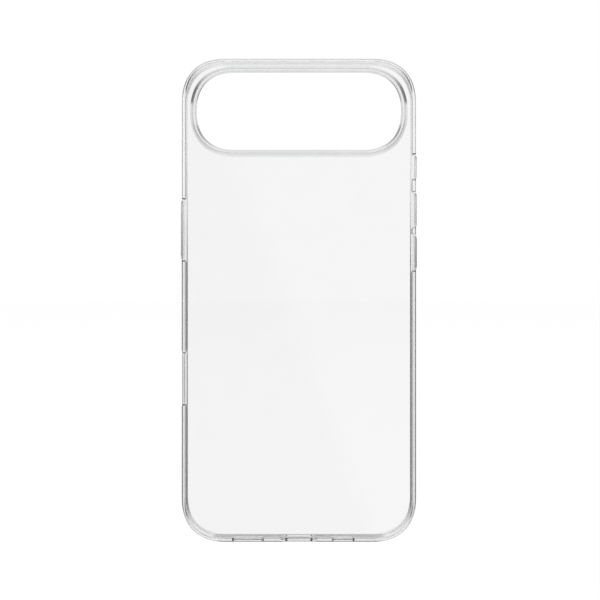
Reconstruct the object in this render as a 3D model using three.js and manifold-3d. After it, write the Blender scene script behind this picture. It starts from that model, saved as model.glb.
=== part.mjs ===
// Clear case for a thin phone with a wide camera bar: a hard back panel held in a flexible frame,
// a raised bezel round the camera opening, and covers that press the phone's four buttons.
// Millimetres. The case stands upright: +Z is up, -Y is its outer back, +Y is the screen side.

import * as THREE from 'three';
import { mergeVertices } from 'three/addons/utils/BufferGeometryUtils.js';
import Module from 'manifold-3d';

const wasm = await Module();
wasm.setup();

// The phone inside
const phoneWidth = 74.7;
const phoneHeight = 156.2;
const phoneDepth = 5.64;
const phoneEdgeRadius = 1.8;

// Frame
const wall = 1.05;
const cornerReach = 14.2; // length of each corner curve along either straight side
const cornerFullness = 0.63; // how far the curve's handles pull towards the sharp corner
const reachPerInset = 1.12; // how much a corner curve shortens for each millimetre it moves in
const backEdgeWidth = 1.8;
const backEdgeDepth = 0.35;
const frontEdgeRadius = 1.2;
const lipHeight = 1.6;
const lipOverhang = 0.9;

// Back panel
const panelThickness = 0.75;
const bandWidth = 2.05; // frame seen from the back, outside the panel
const tongueWidth = 0.65; // panel edge held in the frame's groove
const tongueThickness = 0.4;
const moldLine = 0.05; // between pieces that are bonded or lie face to face

// Camera opening and its bezel
const openingWidth = 66.6;
const openingHeight = 25.15;
const openingReach = 12.2;
const openingMiddle = 140.8; // height above the bottom edge
const bezelWidth = 2.3;
const bezelRise = 1.8;
const bezelRadius = 0.9;
const sleeveThickness = 0.6;

// Covers over the buttons: side -1 is -X and side 1 is +X, with the ends' heights
const covers = [
  { name: 'side_button_cover', side: -1, bottom: 92.5, top: 111.9 },
  { name: 'action_button_cover', side: 1, bottom: 119.2, top: 126.6 },
  { name: 'volume_up_button_cover', side: 1, bottom: 103.3, top: 114.3 },
  { name: 'volume_down_button_cover', side: 1, bottom: 89.2, top: 100.3 },
];
const coverWidth = 3.0;
const coverProud = 0.45;
const coverEdgeRadius = 0.3;
const coverClearance = 0.15;
const skin = 0.35; // wall left outside the pocket that holds a cover's flange
const flangeMargin = 0.6;
const flangeThickness = 0.35;

// Open cut-out for the touch control low on the -X side, in a shallow finger scoop
const controlBottom = 44.0;
const controlTop = 62.7;
const controlEnd = 0.6; // scoop beyond each end of the cut-out
const controlWidth = 4.6;
const controlScoopDepth = 0.27;

// Bottom edge: charging port in a shallow scoop, speaker slot and microphone slot
const portWidth = 9.0;
const portDepth = 5.0;
const portCornerReach = 1.8;
const portScoopWidth = 12.4;
const portScoopDepth = 0.2;
const soundSlotDepth = 2.2;
const speakerSlot = { from: -22.0, to: -11.5 };
const microphoneSlot = { from: 10.8, to: 18.3 };
const scoopRamp = 1.0; // length of the slope at a scoop's ends

// Fineness of the curves
const cornerSteps = 12;
const edgeSteps = 4;
const beyond = 3; // how far a cutting shape runs past the solid it cuts

// Worked-out sizes
const caseWidth = phoneWidth + 2 * wall;
const caseHeight = phoneHeight + 2 * wall;
const caseDepth = bezelRise + panelThickness + phoneDepth + lipHeight;
const caseMiddle = caseHeight / 2;
const crestY = -caseDepth / 2;
const backY = crestY + bezelRise;
const seatY = backY + panelThickness;
const screenY = seatY + phoneDepth;
const frontY = screenY + lipHeight;
const phoneMiddleY = (seatY + screenY) / 2;
const sideX = caseWidth / 2;

// A rectangle whose corners are curves of steadily changing bend
function roundedOutline(width, height, reach, middle = 0) {
  const right = width / 2;
  const top = middle + height / 2;
  const bottom = middle - height / 2;
  const handle = reach * (1 - cornerFullness);
  const outline = new THREE.Shape();
  outline.moveTo(-right + reach, bottom);
  outline.lineTo(right - reach, bottom);
  outline.bezierCurveTo(right - handle, bottom, right, bottom + handle, right, bottom + reach);
  outline.lineTo(right, top - reach);
  outline.bezierCurveTo(right, top - handle, right - handle, top, right - reach, top);
  outline.lineTo(-right + reach, top);
  outline.bezierCurveTo(-right + handle, top, -right, top - handle, -right, top - reach);
  outline.lineTo(-right, bottom + reach);
  outline.bezierCurveTo(-right, bottom + handle, -right + handle, bottom, -right + reach, bottom);
  return outline;
}

// The case's own outline, moved in by a distance
function caseOutline(inset) {
  const reach = cornerReach - reachPerInset * inset;
  return roundedOutline(caseWidth - 2 * inset, caseHeight - 2 * inset, reach, caseMiddle);
}

// The camera opening's outline, moved out by a distance
function openingOutline(growth) {
  const reach = openingReach + reachPerInset * growth;
  return roundedOutline(openingWidth + 2 * growth, openingHeight + 2 * growth, reach, openingMiddle);
}

// An outline given thickness along local Z, with both rims rounded
function extruded(outline, thickness, edgeWidth = 0, edgeDepth = edgeWidth) {
  const geometry = new THREE.ExtrudeGeometry(outline, {
    depth: thickness - 2 * edgeDepth,
    bevelEnabled: edgeWidth > 0,
    bevelThickness: edgeDepth,
    bevelSize: edgeWidth,
    bevelOffset: -edgeWidth,
    bevelSegments: edgeSteps,
    curveSegments: cornerSteps,
  });
  geometry.translate(0, 0, edgeDepth);
  return geometry;
}

// An outline in X and Z given thickness along Y
function plate(outline, fromY, toY, edgeWidth = 0, edgeDepth = edgeWidth) {
  const geometry = extruded(outline, toY - fromY, edgeWidth, edgeDepth);
  geometry.rotateX(Math.PI / 2);
  geometry.translate(0, toY, 0);
  return solidFrom(geometry);
}

// A round-ended slot through the bottom edge
function bottomSlot(from, to, width, reach = width / 2) {
  const geometry = extruded(roundedOutline(to - from, width, reach), wall + phoneEdgeRadius + beyond);
  geometry.translate((from + to) / 2, phoneMiddleY, -beyond);
  return solidFrom(geometry);
}

// A round-ended slab lying in a side wall, between two distances from the wall's outer face
function sideSlab(side, middleZ, length, width, inner, outer, edgeRadius = 0) {
  const outline = roundedOutline(length, width, width / 2);
  const geometry = extruded(outline, outer - inner, edgeRadius);
  geometry.translate(0, 0, inner);
  geometry.rotateY((side * Math.PI) / 2);
  geometry.translate(side * sideX, phoneMiddleY, middleZ);
  return solidFrom(geometry);
}

function solidFrom(geometry) {
  geometry.deleteAttribute('normal');
  geometry.deleteAttribute('uv');
  const merged = mergeVertices(geometry);
  const mesh = new wasm.Mesh({
    numProp: 3,
    vertProperties: new Float32Array(merged.attributes.position.array),
    triVerts: new Uint32Array(merged.index.array),
  });
  return new wasm.Manifold(mesh);
}

function geometryFrom(solid) {
  const mesh = solid.getMesh();
  const geometry = new THREE.BufferGeometry();
  geometry.setAttribute('position', new THREE.BufferAttribute(mesh.vertProperties, 3));
  geometry.setIndex(new THREE.BufferAttribute(mesh.triVerts, 1));
  geometry.computeVertexNormals();
  return geometry;
}

// A shallow hollow across the whole depth of an edge, with sloping ends.
// start and end are the hollow's ends along the edge; place turns (along, depth) into (x, z).
function scoop(start, end, depth, place) {
  const corners = [
    place(start, -beyond),
    place(start, 0),
    place(start + scoopRamp, depth),
    place(end - scoopRamp, depth),
    place(end, 0),
    place(end, -beyond),
  ];
  const outline = new THREE.Shape(corners);
  return plate(outline, backY - beyond, frontY + beyond);
}

function shell() {
  const roundedBack = plate(caseOutline(0), backY, frontY + beyond, backEdgeWidth, backEdgeDepth);
  const roundedFront = plate(caseOutline(0), backY - beyond, frontY, frontEdgeRadius);
  return roundedBack.intersect(roundedFront);
}

function bumperFrame() {
  const ledge = panelThickness - tongueThickness;
  const tongueInset = bandWidth - tongueWidth;
  let frame = shell()
    .subtract(plate(caseOutline(wall), seatY, screenY, phoneEdgeRadius))
    .subtract(plate(caseOutline(wall + lipOverhang), screenY - phoneEdgeRadius, frontY + beyond))
    .subtract(plate(caseOutline(bandWidth - moldLine), backY - beyond, seatY + phoneEdgeRadius))
    .subtract(plate(caseOutline(tongueInset - moldLine), backY + ledge - moldLine, seatY + phoneEdgeRadius));
  for (const cover of covers) {
    frame = frame.subtract(coverPocket(cover));
  }
  return frame
    .subtract(controlCutout())
    .subtract(scoop(-portScoopWidth / 2, portScoopWidth / 2, portScoopDepth, bottomPoint))
    .subtract(bottomSlot(-portWidth / 2, portWidth / 2, portDepth, portCornerReach))
    .subtract(bottomSlot(speakerSlot.from, speakerSlot.to, soundSlotDepth))
    .subtract(bottomSlot(microphoneSlot.from, microphoneSlot.to, soundSlotDepth));
}

function bottomPoint(along, depth) {
  return new THREE.Vector2(along, depth);
}

function leftPoint(along, depth) {
  return new THREE.Vector2(-sideX + depth, along);
}

function controlCutout() {
  const middle = (controlBottom + controlTop) / 2;
  const length = controlTop - controlBottom - 2 * controlEnd;
  const slot = sideSlab(-1, middle, length, controlWidth, -wall - phoneEdgeRadius, beyond);
  return slot.add(scoop(controlBottom, controlTop, controlScoopDepth, leftPoint));
}

// The hole for a cover and the wider pocket behind it for the cover's flange
function coverPocket({ side, bottom, top }) {
  const middle = (bottom + top) / 2;
  const length = top - bottom + 2 * coverClearance;
  const width = coverWidth + 2 * coverClearance;
  const margin = 2 * flangeMargin;
  const hole = sideSlab(side, middle, length, width, -wall, beyond);
  const pocket = sideSlab(side, middle, length + margin, width + margin, -wall - beyond, -skin);
  return hole.add(pocket);
}

function backPanel() {
  const ledge = panelThickness - tongueThickness;
  const face = plate(caseOutline(bandWidth), backY, seatY);
  const tongue = plate(caseOutline(bandWidth - tongueWidth), backY + ledge, seatY);
  const opening = plate(openingOutline(sleeveThickness + moldLine), backY - beyond, seatY + beyond);
  return face.add(tongue).subtract(opening);
}

function cameraRing() {
  const bead = plate(openingOutline(bezelWidth), crestY, seatY, bezelRadius);
  const above = plate(caseOutline(0), crestY - beyond, backY - moldLine);
  const sleeve = plate(openingOutline(sleeveThickness), crestY + bezelRise / 2, seatY);
  const opening = plate(openingOutline(0), crestY - beyond, seatY + beyond);
  return bead.intersect(above).add(sleeve).subtract(opening);
}

// A cover in its own place: local Z points out of the case, from the wall's outer face
function coverGeometry(bottom, top) {
  const length = top - bottom;
  const flangeOuter = -skin - moldLine;
  const flangeInner = flangeOuter - flangeThickness;
  const stemOutline = roundedOutline(length, coverWidth, coverWidth / 2);
  const stem = extruded(stemOutline, coverProud - flangeInner, coverEdgeRadius);
  stem.translate(0, 0, flangeInner);
  const flangeLength = length + 2 * flangeMargin;
  const flangeWidth = coverWidth + 2 * flangeMargin;
  const flange = extruded(roundedOutline(flangeLength, flangeWidth, flangeWidth / 2), flangeThickness);
  flange.translate(0, 0, flangeInner);
  return geometryFrom(solidFrom(stem).add(solidFrom(flange)));
}

const hardClear = new THREE.MeshStandardMaterial({ color: 0xf3f5f6, roughness: 0.06, metalness: 0 });
const flexibleClear = new THREE.MeshStandardMaterial({ color: 0xdcdfe2, roughness: 0.14, metalness: 0 });
const bezelClear = new THREE.MeshStandardMaterial({ color: 0xd2d5d8, roughness: 0.12, metalness: 0 });
const coverClear = new THREE.MeshStandardMaterial({ color: 0xc8ccd0, roughness: 0.1, metalness: 0 });

function named(name, geometry, material) {
  const mesh = new THREE.Mesh(geometry, material);
  mesh.name = name;
  return mesh;
}

const group = new THREE.Group();
group.add(named('bumper_frame', geometryFrom(bumperFrame()), flexibleClear));
group.add(named('back_panel', geometryFrom(backPanel()), hardClear));
group.add(named('camera_ring', geometryFrom(cameraRing()), bezelClear));

for (const { name, side, bottom, top } of covers) {
  const cover = named(name, coverGeometry(bottom, top), coverClear);
  cover.rotation.y = (side * Math.PI) / 2;
  cover.position.set(side * sideX, phoneMiddleY, (bottom + top) / 2);
  group.add(cover);
}

export default group;
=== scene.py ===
from math import atan2, cos, pi, sin

import bmesh
import bpy
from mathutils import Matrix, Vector


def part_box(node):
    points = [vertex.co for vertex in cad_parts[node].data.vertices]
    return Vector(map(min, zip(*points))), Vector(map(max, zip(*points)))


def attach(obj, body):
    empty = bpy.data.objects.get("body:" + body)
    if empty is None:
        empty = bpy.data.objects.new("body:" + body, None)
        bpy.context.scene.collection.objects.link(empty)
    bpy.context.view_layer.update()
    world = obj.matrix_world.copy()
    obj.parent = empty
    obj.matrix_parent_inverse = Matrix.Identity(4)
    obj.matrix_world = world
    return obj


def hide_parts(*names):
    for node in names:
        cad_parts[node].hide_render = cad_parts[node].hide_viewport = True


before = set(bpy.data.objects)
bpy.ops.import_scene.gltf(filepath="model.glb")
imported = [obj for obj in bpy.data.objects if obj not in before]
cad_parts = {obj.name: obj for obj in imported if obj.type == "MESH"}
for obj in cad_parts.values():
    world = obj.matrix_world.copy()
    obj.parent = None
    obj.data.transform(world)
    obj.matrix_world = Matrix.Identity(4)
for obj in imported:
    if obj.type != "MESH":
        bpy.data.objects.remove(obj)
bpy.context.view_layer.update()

MM = 0.001

# ---------------------------------------------------------------- sizes, read from the CAD boxes

frame_low, frame_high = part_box("bumper_frame")
panel_low, panel_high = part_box("back_panel")
ring_low, ring_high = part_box("camera_ring")

HALF_WIDTH = frame_high[0]
CASE_TOP = frame_high[2]
CASE_MIDDLE = CASE_TOP / 2
BACK_Y = frame_low[1]
FRONT_Y = frame_high[1]
SEAT_Y = panel_high[1]
CREST_Y = ring_low[1]

WALL = 1.05 * MM
LIP_HEIGHT = 1.6 * MM
SCREEN_Y = FRONT_Y - LIP_HEIGHT
PHONE_MIDDLE_Y = (SEAT_Y + SCREEN_Y) / 2
BAND_WIDTH = 2.05 * MM
TONGUE_INSET = HALF_WIDTH - panel_high[0]
TONGUE_DEPTH = 0.4 * MM
LEDGE_Y = SEAT_Y - TONGUE_DEPTH
MOLD_LINE = 0.05 * MM

# the case's corners
CORNER_REACH = 14.2 * MM
CORNER_FULLNESS = 0.63
REACH_PER_INSET = 1.12
CORNER_STEPS = 28
CASE_SIDE_STEPS = 80
CASE_END_STEPS = 16

# heights between which the frame's band narrows beside the camera opening and widens above it,
# and the share of its width past the panel's tongue that stays
SHOULDER_START = (117 * MM, 126 * MM)
SHOULDER_END = (146 * MM, 153 * MM)
SHOULDER_SHARE = 0.25

OPENING_LIP = 2.3 * MM
OPENING_HALF_WIDTH = ring_high[0] - OPENING_LIP
OPENING_HALF_HEIGHT = (ring_high[2] - ring_low[2]) / 2 - OPENING_LIP
OPENING_MIDDLE = (ring_high[2] + ring_low[2]) / 2
OPENING_REACH = 12.2 * MM
OPENING_SIDE_STEPS = 2
OPENING_END_STEPS = 12
SLEEVE = 0.6 * MM


# ---------------------------------------------------------------- outlines

def rounded_outline(half_width, half_height, reach, middle, side_steps=1, end_steps=1):
    """A rounded rectangle in (x, z), anticlockwise from the lower left end of the bottom edge."""
    right, top, bottom = half_width, middle + half_height, middle - half_height
    handle = reach * (1 - CORNER_FULLNESS)

    def straight(a, b, steps):
        return [
            (a[0] + (b[0] - a[0]) * i / steps, a[1] + (b[1] - a[1]) * i / steps)
            for i in range(steps)
        ]

    def corner(p0, p1, p2, p3):
        points = []
        for i in range(CORNER_STEPS):
            t = i / CORNER_STEPS
            u = 1 - t
            points.append(tuple(
                u ** 3 * a + 3 * u * u * t * b + 3 * u * t * t * c + t ** 3 * d
                for a, b, c, d in zip(p0, p1, p2, p3)
            ))
        return points

    return (
        straight((-right + reach, bottom), (right - reach, bottom), end_steps)
        + corner((right - reach, bottom), (right - handle, bottom),
                 (right, bottom + handle), (right, bottom + reach))
        + straight((right, bottom + reach), (right, top - reach), side_steps)
        + corner((right, top - reach), (right, top - handle),
                 (right - handle, top), (right - reach, top))
        + straight((right - reach, top), (-right + reach, top), end_steps)
        + corner((-right + reach, top), (-right + handle, top),
                 (-right, top - handle), (-right, top - reach))
        + straight((-right, top - reach), (-right, bottom + reach), side_steps)
        + corner((-right, bottom + reach), (-right, bottom + handle),
                 (-right + handle, bottom), (-right + reach, bottom))
    )


def fade(value, start, end):
    """0 up to start, 1 from end on, smooth between."""
    t = min(max((value - start) / (end - start), 0), 1)
    return t * t * (3 - 2 * t)


def plain_case_outline(inset):
    return rounded_outline(
        HALF_WIDTH - inset, CASE_MIDDLE - inset, CORNER_REACH - REACH_PER_INSET * inset,
        CASE_MIDDLE, CASE_SIDE_STEPS, CASE_END_STEPS,
    )


def case_outline(inset):
    """The case's outline, inset; beside the camera opening the frame's band gets narrower."""
    outline = plain_case_outline(inset)
    if inset <= TONGUE_INSET:
        return outline
    narrow = plain_case_outline(TONGUE_INSET + (inset - TONGUE_INSET) * SHOULDER_SHARE)
    points = []
    for wide_point, narrow_point in zip(outline, narrow):
        z = wide_point[1]
        share = fade(z, *SHOULDER_START) * (1 - fade(z, *SHOULDER_END))
        points.append(tuple(a + (b - a) * share for a, b in zip(wide_point, narrow_point)))
    return points


def opening_outline(growth):
    return rounded_outline(
        OPENING_HALF_WIDTH + growth, OPENING_HALF_HEIGHT + growth,
        OPENING_REACH + REACH_PER_INSET * growth, OPENING_MIDDLE,
        OPENING_SIDE_STEPS, OPENING_END_STEPS,
    )


# ---------------------------------------------------------------- mesh helpers

SHARP_ANGLE = 35 * pi / 180
MERGE_DISTANCE = 1e-7


def arc(centre, start, end, radii, steps):
    """Points of an elliptical arc, angles in degrees, both ends included."""
    angles = [(start + (end - start) * i / steps) * pi / 180 for i in range(steps + 1)]
    return [(centre[0] + radii[0] * cos(a), centre[1] + radii[1] * sin(a)) for a in angles]


def new_piece(name, mesh_builder):
    mesh = bpy.data.meshes.new(name)
    bm = bmesh.new()
    mesh_builder(bm)
    bmesh.ops.remove_doubles(bm, verts=bm.verts, dist=MERGE_DISTANCE)
    bmesh.ops.recalc_face_normals(bm, faces=bm.faces)
    bm.to_mesh(mesh)
    bm.free()
    piece = bpy.data.objects.new(name, mesh)
    bpy.context.scene.collection.objects.link(piece)
    return piece


def bridge(bm, a, b):
    """Faces between two closed loops with the same number of points."""
    count = len(a)
    for i in range(count):
        j = (i + 1) % count
        bm.faces.new((a[i], a[j], b[j], b[i]))


def sweep(bm, profile, outline_at):
    """A closed profile of (offset, y) points carried round an outline."""
    rings = [[bm.verts.new((x, y, z)) for x, z in outline_at(offset)] for offset, y in profile]
    for a, b in zip(rings, rings[1:] + rings[:1]):
        bridge(bm, a, b)


def prism(bm, outline, to_point, low, high):
    """An outline carried straight from low to high; to_point turns (u, v, height) into a place."""
    rings = [[bm.verts.new(to_point(u, v, h)) for u, v in outline] for h in (low, high)]
    bridge(bm, *rings)
    bm.faces.new(rings[0][::-1])
    bm.faces.new(rings[1])


def smooth(piece):
    mesh = piece.data
    mesh.polygons.foreach_set("use_smooth", [True] * len(mesh.polygons))
    mesh.set_sharp_from_angle(angle=SHARP_ANGLE)
    weighted = piece.modifiers.new("weighted_normals", "WEIGHTED_NORMAL")
    weighted.keep_sharp = True
    weighted.weight = 100


def cut(piece, *cutters):
    """Cuts the cutters out of the piece for good, and removes them."""
    for cutter in cutters:
        modifier = piece.modifiers.new("cut", "BOOLEAN")
        modifier.operation = "DIFFERENCE"
        modifier.solver = "EXACT"
        modifier.object = cutter
        graph = bpy.context.evaluated_depsgraph_get()
        result = bpy.data.meshes.new_from_object(piece.evaluated_get(graph))
        piece.modifiers.clear()
        old = piece.data
        piece.data = result
        bpy.data.meshes.remove(old)
        bpy.data.objects.remove(cutter)


# ---------------------------------------------------------------- frame

BACK_EDGE_WIDTH = 1.0 * MM
BACK_EDGE_DEPTH = 1.1 * MM
FRONT_EDGE = 1.2 * MM
LIP_EDGE = 0.45 * MM
PHONE_EDGE = 1.8 * MM
BAND_EDGE = 0.12 * MM
LONG_ARC_STEPS = 16
FRONT_ARC_STEPS = 12
LIP_ARC_STEPS = 6
SHORT_ARC_STEPS = 4

# the lip's inner face slants from the first distance from the outside to the second
LIP_START = 1.2 * MM
LIP_INSET = 1.5 * MM

# the groove's wall ends this far behind the start of the cavity's rounding
GROOVE_STEP = 0.02 * MM


def frame_profile():
    groove = BAND_WIDTH - MOLD_LINE
    ledge_y = LEDGE_Y - MOLD_LINE
    tongue = TONGUE_INSET - MOLD_LINE
    points = []
    # back face, from the outer edge's rounding to the small edge beside the panel
    points += arc((BACK_EDGE_WIDTH, BACK_Y + BACK_EDGE_DEPTH), 180, 270,
                  (BACK_EDGE_WIDTH, BACK_EDGE_DEPTH), LONG_ARC_STEPS)
    points += arc((groove - BAND_EDGE, BACK_Y + BAND_EDGE), 270, 360,
                  (BAND_EDGE, BAND_EDGE), SHORT_ARC_STEPS)
    # groove for the panel's tongue
    points += [(groove, ledge_y), (tongue, ledge_y)]
    # cavity: back corner, wall, front corner up to the lip
    centre = WALL + PHONE_EDGE
    radii = (PHONE_EDGE, PHONE_EDGE)
    cavity = arc((centre, SEAT_Y + PHONE_EDGE), 270, 180, radii, LONG_ARC_STEPS)
    cavity = [p for p in cavity if p[0] < tongue]
    points += [(tongue, cavity[0][1] - GROOVE_STEP)] + cavity
    front = arc((centre, SCREEN_Y - PHONE_EDGE), 180, 90, radii, LONG_ARC_STEPS)
    points += [p for p in front if p[0] < LIP_START]
    # lip
    points += arc((LIP_INSET - LIP_EDGE, FRONT_Y - LIP_EDGE), 0, 90,
                  (LIP_EDGE, LIP_EDGE), LIP_ARC_STEPS)
    points += arc((FRONT_EDGE, FRONT_Y - FRONT_EDGE), 90, 180,
                  (FRONT_EDGE, FRONT_EDGE), FRONT_ARC_STEPS)
    return points


bumper = new_piece("frame_shell", lambda bm: sweep(bm, frame_profile(), case_outline))

PORT_HALF_WIDTH = 4.5 * MM
PORT_HALF_DEPTH = 2.5 * MM
PORT_CORNER = 1.1 * MM
PORT_SCOOP_HALF = 6.2 * MM
PORT_SCOOP_DEPTH = 0.2 * MM
SLOT_HALF_DEPTH = 1.1 * MM
SPEAKER_SLOT = (-22.0 * MM, -11.5 * MM)
MICROPHONE_SLOT = (10.8 * MM, 18.3 * MM)
CONTROL_LOW = 44.0 * MM
CONTROL_HIGH = 62.7 * MM
CONTROL_END = 0.6 * MM
CONTROL_HALF_WIDTH = 2.3 * MM
CONTROL_SCOOP_DEPTH = 0.27 * MM
SCOOP_RAMP = 1.0 * MM
# corner reach at the ends of the side openings and the covers
END_REACH = 0.7 * MM
# how far the cutters go past what they cut
THROUGH = 3 * MM
WALL_AND_CORNER = WALL + PHONE_EDGE


def bottom_cutter(low, high, half_depth, corner):
    outline = rounded_outline((high - low) / 2, half_depth, corner, 0)
    middle = (low + high) / 2
    return new_piece("cutter", lambda bm: prism(
        bm, outline, lambda u, v, h: (middle + u, PHONE_MIDDLE_Y + v, h),
        -THROUGH, WALL_AND_CORNER,
    ))


def scoop_cutter(low, high, depth, to_point):
    outline = [
        (low, -THROUGH), (low, 0), (low + SCOOP_RAMP, depth),
        (high - SCOOP_RAMP, depth), (high, 0), (high, -THROUGH),
    ]
    return new_piece("cutter", lambda bm: prism(
        bm, outline, to_point, BACK_Y - THROUGH, FRONT_Y + THROUGH,
    ))


def side_cutter(side, low, high, half_width, inner, outer):
    outline = rounded_outline(half_width, (high - low) / 2, END_REACH, (low + high) / 2)
    return new_piece("cutter", lambda bm: prism(
        bm, outline, lambda u, v, h: (side * (HALF_WIDTH - h), PHONE_MIDDLE_Y + u, v),
        inner, outer,
    ))


# each cover's body, and the side of the case it is on
COVERS = {
    "side_button_cover": ("side_button", -1),
    "action_button_cover": ("action_button", 1),
    "volume_up_button_cover": ("volume_up_button", 1),
    "volume_down_button_cover": ("volume_down_button", 1),
}
COVER_HALF_WIDTH = 1.5 * MM
COVER_CLEARANCE = 0.15 * MM
FLANGE_MARGIN = 0.6 * MM
# thickness of the wall that keeps the flange in
SKIN = 0.35 * MM


def cover_span(node):
    """Heights of the cap's lower and upper end, without its flange."""
    low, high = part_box(node)
    return low[2] + FLANGE_MARGIN, high[2] - FLANGE_MARGIN


for node, (_, side) in COVERS.items():
    low, high = cover_span(node)
    gap = COVER_CLEARANCE
    pocket = COVER_CLEARANCE + FLANGE_MARGIN
    cut(
        bumper,
        side_cutter(side, low - gap, high + gap, COVER_HALF_WIDTH + gap, -THROUGH, WALL),
        side_cutter(side, low - pocket, high + pocket, COVER_HALF_WIDTH + pocket,
                    SKIN, WALL + THROUGH),
    )
cut(
    bumper,
    side_cutter(-1, CONTROL_LOW + CONTROL_END, CONTROL_HIGH - CONTROL_END,
                CONTROL_HALF_WIDTH, -THROUGH, WALL_AND_CORNER),
    scoop_cutter(CONTROL_LOW, CONTROL_HIGH, CONTROL_SCOOP_DEPTH,
                 lambda u, v, h: (-HALF_WIDTH + v, h, u)),
    scoop_cutter(-PORT_SCOOP_HALF, PORT_SCOOP_HALF, PORT_SCOOP_DEPTH,
                 lambda u, v, h: (u, h, v)),
    bottom_cutter(-PORT_HALF_WIDTH, PORT_HALF_WIDTH, PORT_HALF_DEPTH, PORT_CORNER),
    bottom_cutter(*SPEAKER_SLOT, SLOT_HALF_DEPTH, SLOT_HALF_DEPTH),
    bottom_cutter(*MICROPHONE_SLOT, SLOT_HALF_DEPTH, SLOT_HALF_DEPTH),
)
smooth(bumper)
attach(bumper, "case")
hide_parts("bumper_frame")


# ---------------------------------------------------------------- back panel

PANEL_EDGE = 0.1 * MM
FLAT_STRIP = 0.4 * MM


def build_panel(bm):
    """Outer and inner edges as loops round the outlines, with flat faces filled between them."""
    hole = SLEEVE + MOLD_LINE
    edge = PANEL_EDGE
    outer = [(BAND_WIDTH + edge + FLAT_STRIP, BACK_Y)]
    outer += arc((BAND_WIDTH + edge, BACK_Y + edge), 270, 180, (edge, edge), SHORT_ARC_STEPS)
    outer += [(BAND_WIDTH, LEDGE_Y), (TONGUE_INSET, LEDGE_Y), (TONGUE_INSET, SEAT_Y)]
    outer += [(BAND_WIDTH + edge + FLAT_STRIP, SEAT_Y)]
    inner = [
        (hole + edge + FLAT_STRIP, BACK_Y), (hole + edge, BACK_Y), (hole, BACK_Y + edge),
        (hole, SEAT_Y - edge), (hole + edge, SEAT_Y), (hole + edge + FLAT_STRIP, SEAT_Y),
    ]

    def loops(stations, outline_at):
        return [[bm.verts.new((x, y, z)) for x, z in outline_at(offset)] for offset, y in stations]

    outer_loops = loops(outer, case_outline)
    inner_loops = loops(inner, opening_outline)
    for rings in (outer_loops, inner_loops):
        for a, b in zip(rings, rings[1:]):
            bridge(bm, a, b)
    for a, b in ((outer_loops[0], inner_loops[0]), (outer_loops[-1], inner_loops[-1])):
        edges = []
        for loop in (a, b):
            for pair in zip(loop, loop[1:] + loop[:1]):
                edges.append(bm.edges.get(pair) or bm.edges.new(pair))
        bmesh.ops.triangle_fill(bm, use_beauty=True, edges=edges)


panel = new_piece("panel_plate", build_panel)
smooth(panel)
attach(panel, "case")
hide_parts("back_panel")


# ---------------------------------------------------------------- camera bezel

BEAD_CREST = 0.85 * MM
BEAD_RADIUS = 0.6 * MM
INNER_FLANK_DEPTH = 0.3 * MM
SLEEVE_DRAFT = 0.35 * MM

# the small edges at the bezel's foot and at the inner flank's lower end
FOOT_EDGE = 0.12 * MM
FOOT_WALL = 0.4 * FOOT_EDGE
FOOT_RUN = 1.2 * FOOT_EDGE
FOOT_RISE = 2 * FOOT_EDGE
FLANK_EDGE = 0.3 * FOOT_EDGE
FLANK_TOP = 0.5 * BEAD_RADIUS


def bezel_profile():
    """Drafted sleeve, inner flank, rounded crest and outer flank, down to a small foot."""
    foot = BACK_Y - MOLD_LINE
    shoulder = CREST_Y + INNER_FLANK_DEPTH
    crest = (BEAD_CREST, CREST_Y + BEAD_RADIUS)
    inner_slope = atan2(BEAD_CREST - FLANK_TOP, INNER_FLANK_DEPTH) * 180 / pi
    outer_slope = atan2(OPENING_LIP - BEAD_CREST - FLANK_TOP, foot - CREST_Y) * 180 / pi
    points = [(SLEEVE_DRAFT, SEAT_Y), (0, shoulder + FOOT_EDGE)]
    points += [(FLANK_EDGE, shoulder + FLANK_EDGE)]
    points += arc(crest, 180 + inner_slope, 360 - outer_slope, (BEAD_RADIUS, BEAD_RADIUS),
                  LONG_ARC_STEPS)
    points += [(OPENING_LIP - FOOT_RUN, foot - FOOT_RISE)]
    points += [(OPENING_LIP, foot - FOOT_WALL), (OPENING_LIP, foot)]
    points += [(SLEEVE, foot), (SLEEVE, SEAT_Y)]
    return points


bezel = new_piece("camera_bezel", lambda bm: sweep(bm, bezel_profile(), opening_outline))
smooth(bezel)
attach(bezel, "case")
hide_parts("camera_ring")


# ---------------------------------------------------------------- button covers

COVER_PROUD = 0.45 * MM
FLANGE_OUTER = SKIN + MOLD_LINE
FLANGE_THICKNESS = 0.35 * MM
FLANGE_INNER = FLANGE_OUTER + FLANGE_THICKNESS
DOME_WIDTH = 1.3 * MM
DOME_STEPS = 10


def build_cover(bm, node, side):
    low, high = cover_span(node)

    def ring(growth, depth):
        half_width = COVER_HALF_WIDTH + growth
        reach = min(half_width, END_REACH + max(growth, 0))
        outline = rounded_outline(half_width, (high - low) / 2 + growth, reach, (low + high) / 2)
        return [
            bm.verts.new((side * (HALF_WIDTH - depth), PHONE_MIDDLE_Y + u, v))
            for u, v in outline
        ]

    # growth past the cap's outline and depth below the frame's face, from the inside outwards
    stations = [
        (0, FLANGE_INNER), (FLANGE_MARGIN, FLANGE_INNER), (FLANGE_MARGIN, FLANGE_OUTER),
        (0, FLANGE_OUTER), (0, 0),
    ]
    for inset, height in arc((DOME_WIDTH, 0), 180, 90, (DOME_WIDTH, COVER_PROUD), DOME_STEPS)[1:]:
        stations.append((-inset, -height))
    rings = [ring(growth, depth) for growth, depth in stations]
    for a, b in zip(rings, rings[1:]):
        bridge(bm, a, b)
    bm.faces.new(rings[0][::-1])
    bm.faces.new(rings[-1])


covers = []
for node, (body, side) in COVERS.items():
    cover = new_piece(node.replace("_cover", "_cap"), lambda bm: build_cover(bm, node, side))
    smooth(cover)
    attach(cover, body)
    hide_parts(node)
    covers.append(cover)


# ---------------------------------------------------------------- materials

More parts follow.
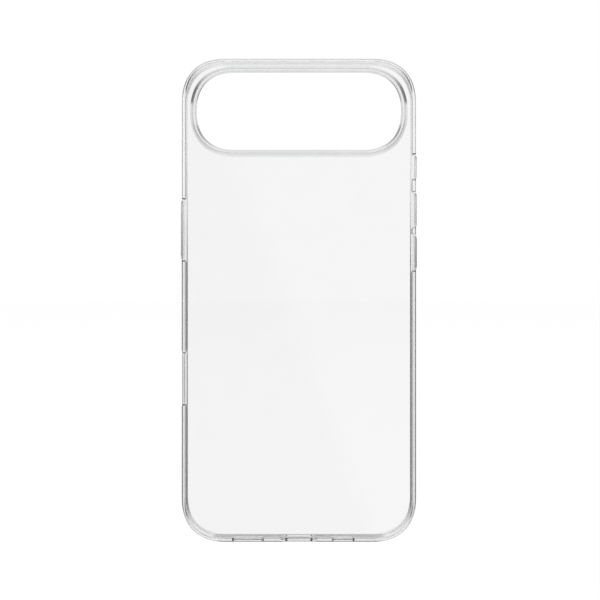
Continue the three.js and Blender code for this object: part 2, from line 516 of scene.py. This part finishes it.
# lengths over which the plastic clouds, its polish varies and its surface ripples
CLOUD_FEATURE = 9 * MM
POLISH_FEATURE = 2.5 * MM
RIPPLE_FEATURE = 3.5 * MM
CLOUD_DETAIL = 3
POLISH_DETAIL = 4
RIPPLE_DETAIL = 2
NOISE_LOW = 0.3
NOISE_HIGH = 0.7

CLEAR_IOR = 1.5
CLEAR_TINTS = ((0.975, 0.98, 0.985), (1, 1, 1))
CLEAR_ROUGHNESS = (0.0, 0.08)
COVER_ROUGHNESS = (0.01, 0.09)
CLEAR_RIPPLE = 0.001 * MM
ABSORPTION = 8
BEZEL_ABSORPTION = 80

SHEET_IOR = 1.58
SHEET_THROUGH = 0.995
SHEET_CLOUDING = 0.002
SHEET_ROUGHNESS = (0.015, 0.045)
SHEET_RIPPLE = 0.0003 * MM
GRAZING_POWER = 5

# painted shade at the frame's foot: the colour is darkened to FOOT_SHADE at the bottom and fades
# back to full by FOOT_SHADE_TOP, in place of the contact shadow under the case
FOOT_SHADE = 0.08
FOOT_SHADE_TOP = 0.6 * MM
FOOT_SHADE_FULL = 0.6 * FOOT_SHADE_TOP


def node_of(material, kind, **inputs):
    node = material.node_tree.nodes.new(kind)
    for name, value in inputs.items():
        node.inputs[name.replace("_", " ")].default_value = value
    return node


def moulded_noise(material, feature, detail):
    """Noise fixed to the piece, with features of about the given length."""
    coords = node_of(material, "ShaderNodeTexCoord")
    noise = node_of(material, "ShaderNodeTexNoise", Scale=1 / feature, Detail=detail)
    material.node_tree.links.new(coords.outputs["Object"], noise.inputs["Vector"])
    return noise.outputs["Fac"]


def spread(material, value, low, high):
    """The middle of a noise's range, spread over low to high."""
    node = node_of(material, "ShaderNodeMapRange", From_Min=NOISE_LOW, From_Max=NOISE_HIGH,
                   To_Min=low, To_Max=high)
    material.node_tree.links.new(value, node.inputs["Value"])
    return node.outputs["Result"]


def tint(material, value, low, high):
    """The middle of a noise's range, spread between two colours."""
    ramp = node_of(material, "ShaderNodeValToRGB")
    material.node_tree.links.new(value, ramp.inputs["Fac"])
    stops = ((NOISE_LOW, low), (NOISE_HIGH, high))
    for element, (position, colour) in zip(ramp.color_ramp.elements, stops):
        element.position = position
        element.color = (*colour, 1)
    return ramp.outputs["Color"]


def ripple(material, height):
    """Faint moulding ripple of the given height."""
    bump = node_of(material, "ShaderNodeBump", Strength=1, Distance=height)
    noise = moulded_noise(material, RIPPLE_FEATURE, RIPPLE_DETAIL)
    material.node_tree.links.new(noise, bump.inputs["Height"])
    return bump.outputs["Normal"]


def clear_material(name, roughness, absorption):
    """Clear moulded plastic that greys with the length of plastic looked through."""
    material = bpy.data.materials.new(name)
    material.use_nodes = True
    nodes, links = material.node_tree.nodes, material.node_tree.links
    shader = nodes["Principled BSDF"]
    shader.inputs["IOR"].default_value = CLEAR_IOR
    shader.inputs["Transmission Weight"].default_value = 1
    cloud = moulded_noise(material, CLOUD_FEATURE, CLOUD_DETAIL)
    links.new(tint(material, cloud, *CLEAR_TINTS), shader.inputs["Base Color"])
    polish = moulded_noise(material, POLISH_FEATURE, POLISH_DETAIL)
    links.new(spread(material, polish, *roughness), shader.inputs["Roughness"])
    links.new(ripple(material, CLEAR_RIPPLE), shader.inputs["Normal"])
    volume = node_of(material, "ShaderNodeVolumeAbsorption", Color=(0, 0, 0, 1),
                     Density=absorption)
    links.new(volume.outputs["Volume"], nodes["Material Output"].inputs["Volume"])
    return material


def paint_contact_shade_on_foot(material):
    """Paints shade into the colour of the lowest part of the bottom edge: a painted contact shadow
    standing in for the shade under the case that shows through it.
    """
    nodes, links = material.node_tree.nodes, material.node_tree.links
    shader = nodes["Principled BSDF"]
    plain = shader.inputs["Base Color"].links[0].from_socket
    coords = node_of(material, "ShaderNodeTexCoord")
    position = node_of(material, "ShaderNodeSeparateXYZ")
    links.new(coords.outputs["Object"], position.inputs["Vector"])
    level = node_of(material, "ShaderNodeMapRange", From_Min=FOOT_SHADE_FULL,
                    From_Max=FOOT_SHADE_TOP, To_Min=FOOT_SHADE, To_Max=1)
    links.new(position.outputs["Z"], level.inputs["Value"])
    shaded = nodes.new("ShaderNodeVectorMath")
    shaded.operation = "SCALE"
    links.new(plain, shaded.inputs["Vector"])
    links.new(level.outputs["Result"], shaded.inputs["Scale"])
    links.new(shaded.outputs["Vector"], shader.inputs["Base Color"])


def clear_sheet_material(name):
    """A flat clear sheet: what is behind shows straight through, under a faint reflection."""
    material = bpy.data.materials.new(name)
    material.use_nodes = True
    nodes, links = material.node_tree.nodes, material.node_tree.links
    nodes.remove(nodes["Principled BSDF"])
    straight = node_of(material, "ShaderNodeBsdfTransparent")
    cloud = moulded_noise(material, CLOUD_FEATURE, CLOUD_DETAIL)
    links.new(tint(material, cloud, (SHEET_THROUGH - SHEET_CLOUDING,) * 3,
                   (SHEET_THROUGH + SHEET_CLOUDING,) * 3), straight.inputs["Color"])
    gloss = node_of(material, "ShaderNodeBsdfGlossy")
    polish = moulded_noise(material, POLISH_FEATURE, POLISH_DETAIL)
    links.new(spread(material, polish, *SHEET_ROUGHNESS), gloss.inputs["Roughness"])
    links.new(ripple(material, SHEET_RIPPLE), gloss.inputs["Normal"])
    # reflection grows towards grazing the same way on both faces of the sheet
    head_on = ((SHEET_IOR - 1) / (SHEET_IOR + 1)) ** 2
    weight = node_of(material, "ShaderNodeLayerWeight", Blend=0.5)
    grazing = nodes.new("ShaderNodeMath")
    grazing.operation = "POWER"
    grazing.inputs[1].default_value = GRAZING_POWER
    links.new(weight.outputs["Facing"], grazing.inputs[0])
    reflection = node_of(material, "ShaderNodeMapRange", To_Min=head_on, To_Max=1)
    links.new(grazing.outputs["Value"], reflection.inputs["Value"])
    mix = node_of(material, "ShaderNodeMixShader")
    links.new(reflection.outputs["Result"], mix.inputs["Fac"])
    links.new(straight.outputs["BSDF"], mix.inputs[1])
    links.new(gloss.outputs["BSDF"], mix.inputs[2])
    links.new(mix.outputs["Shader"], nodes["Material Output"].inputs["Surface"])
    return material


frame_material = clear_material("frame_clear_plastic", CLEAR_ROUGHNESS, ABSORPTION)
# painted contact shade: darkens the frame's colour along its bottom edge
paint_contact_shade_on_foot(frame_material)
bumper.data.materials.append(frame_material)
panel.data.materials.append(clear_sheet_material("panel_clear_plastic"))
bezel.data.materials.append(
    clear_material("bezel_clear_plastic", CLEAR_ROUGHNESS, BEZEL_ABSORPTION))
cover_material = clear_material("cover_clear_plastic", COVER_ROUGHNESS, ABSORPTION)
for cover in covers:
    cover.data.materials.append(cover_material)

# the clear pieces leave the white floor unshaded
panel.visible_shadow = False
for piece in [bumper, panel, bezel] + covers:
    piece.visible_diffuse = False


# ---------------------------------------------------------------- floor

FLOOR_RADII = (0.25, 0.6, 1.2, 2.4, 4.0)
FLOOR_SEGMENTS = 64
FLOOR_GREY = 0.9
FLOOR_ROUGHNESS = 0.9


def build_floor(bm):
    angles = [2 * pi * i / FLOOR_SEGMENTS for i in range(FLOOR_SEGMENTS)]
    loops = [
        [bm.verts.new((radius * cos(a), radius * sin(a), 0)) for a in angles]
        for radius in FLOOR_RADII
    ]
    bm.faces.new(loops[0])
    for a, b in zip(loops, loops[1:]):
        bridge(bm, a, b)


floor = new_piece("studio_floor", build_floor)
floor_material = bpy.data.materials.new("studio_floor_white")
floor_material.use_nodes = True
floor_shader = floor_material.node_tree.nodes["Principled BSDF"]
floor_shader.inputs["Base Color"].default_value = (FLOOR_GREY, FLOOR_GREY, FLOOR_GREY, 1)
floor_shader.inputs["Roughness"].default_value = FLOOR_ROUGHNESS
floor_shader.inputs["Specular IOR Level"].default_value = 0
floor.data.materials.append(floor_material)
floor.visible_transmission = False
floor.visible_glossy = False


# ---------------------------------------------------------------- light

BACKDROP_LEVEL = 1.0
FLOOR_LIGHT_LEVEL = 1.10
SIDE_LEVEL = 0.85
LOW_LEVEL = 0.9
FLOOR_LEVEL = 0.92
ROOM_LEVEL = 0.92
CARD_LEVEL = 0.12
AHEAD_LEVEL = 0.9
STRIP_LEVEL = 3.0
SOFTBOX_LEVEL = 0.3

# the softbox's edge: how far its direction leans to the right and up, how sharp it is, and where
SOFTBOX_LEAN = (0.94, 0.34)
SOFTBOX_SHARPNESS = 55.0
SOFTBOX_PLACE = 1.37

# stops of the light's ramps, as (position, level), by |X|, by height ((Z + 1) / 2) or by -Y of
# the direction looked in
AROUND_BY_SIDE = [(0.0, 1.0), (0.12, 1.0), (0.3, SIDE_LEVEL), (1.0, SIDE_LEVEL)]
ROOM_BY_HEIGHT = [
    (0.0, LOW_LEVEL), (0.1, LOW_LEVEL), (0.2, FLOOR_LEVEL), (0.45, FLOOR_LEVEL), (0.5, 1.0),
    (0.58, 1.0), (0.68, ROOM_LEVEL), (1.0, ROOM_LEVEL),
]
CARD_BY_SIDE = [(0.0, 0.0), (0.15, 0.0), (0.3, 1.0), (0.9, 1.0), (0.96, 0.0), (1.0, 0.0)]
CARD_BY_HEIGHT = [(0.0, 0.0), (0.3, 0.0), (0.42, 1.0), (0.505, 1.0), (0.53, 0.0), (1.0, 0.0)]
STRIP_BY_FACING = [(0.0, 0.0), (0.72, 0.0), (0.77, 1.0), (0.90, 1.0), (0.93, 0.0), (1.0, 0.0)]
SOFTBOX_EDGE = [(0.0, 0.0), (1.0, SOFTBOX_LEVEL)]

scene = bpy.context.scene
scene.view_settings.view_transform = "Standard"

world = bpy.data.worlds.new("studio_world")
scene.world = world
world.use_nodes = True
world.cycles.sampling_method = "NONE"
world_nodes, world_links = world.node_tree.nodes, world.node_tree.links
background = world_nodes["Background"]


def fill(node, sockets, values):
    """Links or sets each of the node's sockets."""
    for socket, value in zip(sockets, values):
        if hasattr(value, "is_linked"):
            world_links.new(value, node.inputs[socket])
        else:
            node.inputs[socket].default_value = value
    return node.outputs[0]


def math_node(operation, *values):
    node = world_nodes.new("ShaderNodeMath")
    node.operation = operation
    return fill(node, range(len(values)), values)


def ramp_node(value, stops):
    node = world_nodes.new("ShaderNodeValToRGB")
    world_links.new(value, node.inputs[0])
    elements = node.color_ramp.elements
    while len(elements) < len(stops):
        elements.new(0.5)
    for element, (position, level) in zip(elements, stops):
        element.position = position
        element.color = (level, level, level, 1)
    return node.outputs[0]


def choose(factor, low, high):
    node = world_nodes.new("ShaderNodeMix")
    node.data_type = "FLOAT"
    return fill(node, (0, 2, 3), (factor, low, high))


path = world_nodes.new("ShaderNodeLightPath")
coords = world_nodes.new("ShaderNodeTexCoord")
direction = world_nodes.new("ShaderNodeSeparateXYZ")
world_links.new(coords.outputs["Generated"], direction.inputs[0])
x, y, z = direction.outputs["X"], direction.outputs["Y"], direction.outputs["Z"]

# what shows through the clear pieces: a bright backdrop in a paler room, with dark cards to the
# sides at the case's own height
sideways = math_node("ABSOLUTE", x)
height = math_node("MULTIPLY_ADD", z, 0.5, 0.5)
room = math_node("MULTIPLY", ramp_node(sideways, AROUND_BY_SIDE),
                 ramp_node(height, ROOM_BY_HEIGHT))
card = math_node("MULTIPLY", ramp_node(sideways, CARD_BY_SIDE), ramp_node(height, CARD_BY_HEIGHT))
through = choose(card, room, CARD_LEVEL)

# what the surfaces mirror: a large softbox's edge to the right behind the camera, a pale strip
# round the camera and, ahead, the same as shows through
lean = math_node("MULTIPLY_ADD", x, SOFTBOX_LEAN[0], math_node("MULTIPLY", z, SOFTBOX_LEAN[1]))
edge = math_node("MULTIPLY_ADD", lean, SOFTBOX_SHARPNESS, SOFTBOX_PLACE)
strip = ramp_node(math_node("MULTIPLY", y, -1.0), STRIP_BY_FACING)
behind = math_node("MULTIPLY_ADD", strip, STRIP_LEVEL, ramp_node(edge, SOFTBOX_EDGE))
ahead = math_node("MULTIPLY", through, AHEAD_LEVEL)
mirrored = choose(math_node("GREATER_THAN", y, 0.0), behind, ahead)

strength = choose(path.outputs["Is Transmission Ray"], mirrored, through)
strength = choose(path.outputs["Is Camera Ray"], strength, BACKDROP_LEVEL)
strength = choose(path.outputs["Is Diffuse Ray"], strength, FLOOR_LIGHT_LEVEL)
world_links.new(strength, background.inputs["Strength"])
background.inputs["Color"].default_value = (1, 1, 1, 1)

KEY_SIZE = 1.6
KEY_ENERGY = 1.0
KEY_PLACE = Vector((-0.5, -0.6, 1.6))
KEY_AIM = Vector((0, 0, 0.05))

key_data = bpy.data.lights.new("overhead_softbox", "AREA")
key_data.shape = "RECTANGLE"
key_data.size = KEY_SIZE
key_data.size_y = KEY_SIZE
key_data.energy = KEY_ENERGY
key = bpy.data.objects.new("overhead_softbox", key_data)
key.location = KEY_PLACE
key.rotation_euler = (KEY_AIM - KEY_PLACE).to_track_quat("-Z", "Y").to_euler()
scene.collection.objects.link(key)
key.visible_glossy = False
key.visible_transmission = False


# ---------------------------------------------------------------- camera

CAMERA_LENS = 88.0
CAMERA_PLACE = (0.00036, -0.4827, 0.088)
CAMERA_SHIFT = -0.0446
SENSOR_WIDTH = 36
CLIP_END = 20

camera_data = bpy.data.cameras.new("product_camera")
camera_data.lens = CAMERA_LENS
camera_data.shift_y = CAMERA_SHIFT
camera_data.sensor_width = SENSOR_WIDTH
camera_data.clip_end = CLIP_END
camera = bpy.data.objects.new("product_camera", camera_data)
camera.location = CAMERA_PLACE
camera.rotation_euler = (pi / 2, 0, 0)
scene.collection.objects.link(camera)
scene.camera = camera
